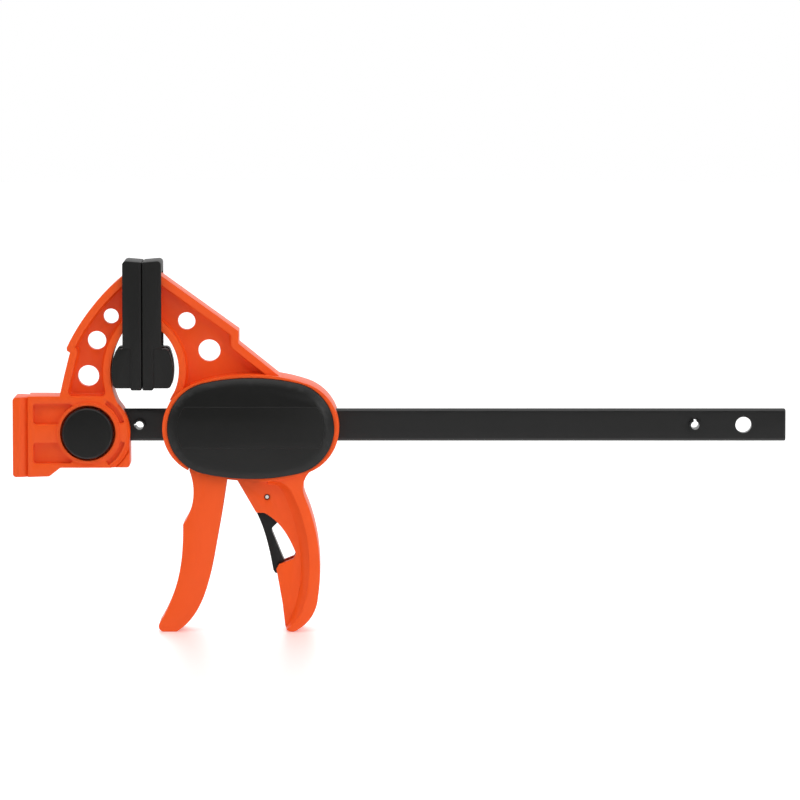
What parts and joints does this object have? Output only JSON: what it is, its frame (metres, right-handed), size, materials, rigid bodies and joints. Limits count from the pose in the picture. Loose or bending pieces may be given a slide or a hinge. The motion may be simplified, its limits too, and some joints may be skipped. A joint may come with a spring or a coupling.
{
  "type": "bar clamp",
  "caption": "Trigger-driven bar clamp with curved webbed jaws, slip-on pads, an oval housing, a squeeze handle and a release lever on a flat steel bar.",
  "frame": {"origin": "on the bar's centreline, in the plane where the two pads meet when the jaws are closed", "axes": "+X along the bar towards its free end, +Y across the clamp away from the push button, +Z from the handles up to the jaw tips"},
  "size_m": [0.3348, 0.0322, 0.161],
  "materials": {
    "jaw_plastic": "satin moulded glass-filled nylon",
    "cover_plastic": "satin moulded nylon",
    "pad_rubber": "matt soft moulding",
    "bar_steel": "black oxide",
    "pin_steel": "plain",
    "plate_steel": "hardened, oiled",
    "spring_steel": "drawn wire"
  },
  "bodies": {
    "bar_body": {"bar": "bar_steel", "bar_stop_pin_front": "pin_steel", "bar_stop_pin_rear": "pin_steel", "fixed_jaw": "jaw_plastic", "fixed_jaw_pad": "pad_rubber", "button_spring": "spring_steel"},
    "sliding_jaw": {"jaw_body": "jaw_plastic", "cover_front": "cover_plastic", "cover_back": "cover_plastic", "moving_jaw_pad": "pad_rubber", "trigger_pivot_pin": "pin_steel", "release_lever_pin": "pin_steel", "drive_spring": "spring_steel", "brake_spring": "spring_steel"},
    "trigger": {"trigger": "jaw_plastic"},
    "drive_plates": {"drive_plate_1": "plate_steel", "drive_plate_2": "plate_steel"},
    "brake": {"brake_plate": "plate_steel"},
    "lever": {"release_lever": "cover_plastic"},
    "button": {"release_button": "cover_plastic", "latch_plate": "cover_plastic", "lock_pin": "pin_steel"}
  },
  "joints": [
    {"name": "jaw_slide", "type": "slide", "parent": "bar_body", "child": "sliding_jaw", "axis": [1, 0, 0], "range_m": [0, 0.1514]},
    {"name": "trigger_squeeze", "type": "hinge", "parent": "sliding_jaw", "child": "trigger", "pos_m": [0.0273, 0, 0.0135], "axis": [0, -1, 0], "range_deg": [0, 18], "stiffness_Nm_per_rad": 0.8, "springref_deg": -14.32},
    {"name": "drive_push", "type": "slide", "parent": "sliding_jaw", "child": "drive_plates", "axis": [1, 0, 0], "range_m": [0, 0.0043], "deforming": ["drive_spring"]},
    {"name": "lever_pull", "type": "hinge", "parent": "sliding_jaw", "child": "lever", "pos_m": [0.0538, 0, -0.0309], "axis": [0, -1, 0], "range_deg": [0, 8], "stiffness_Nm_per_rad": 0.3, "springref_deg": -8.59},
    {"name": "brake_tilt", "type": "hinge", "parent": "sliding_jaw", "child": "brake", "pos_m": [0.0552, 0, 0.012], "axis": [0, 1, 0], "range_deg": [0, 4.1], "deforming": ["brake_spring"]},
    {"name": "button_push", "type": "slide", "parent": "bar_body", "child": "button", "axis": [0, 1, 0], "range_m": [0, 0.0042], "stiffness_N_per_m": 400, "springref_m": -0.004, "deforming": ["button_spring"]}
  ],
  "couplings": [
    {"joint": "drive_push", "follows": "trigger_squeeze", "m_per_rad": 0.0135},
    {"joint": "brake_tilt", "follows": "lever_pull", "ratio": 0.5}
  ]
}
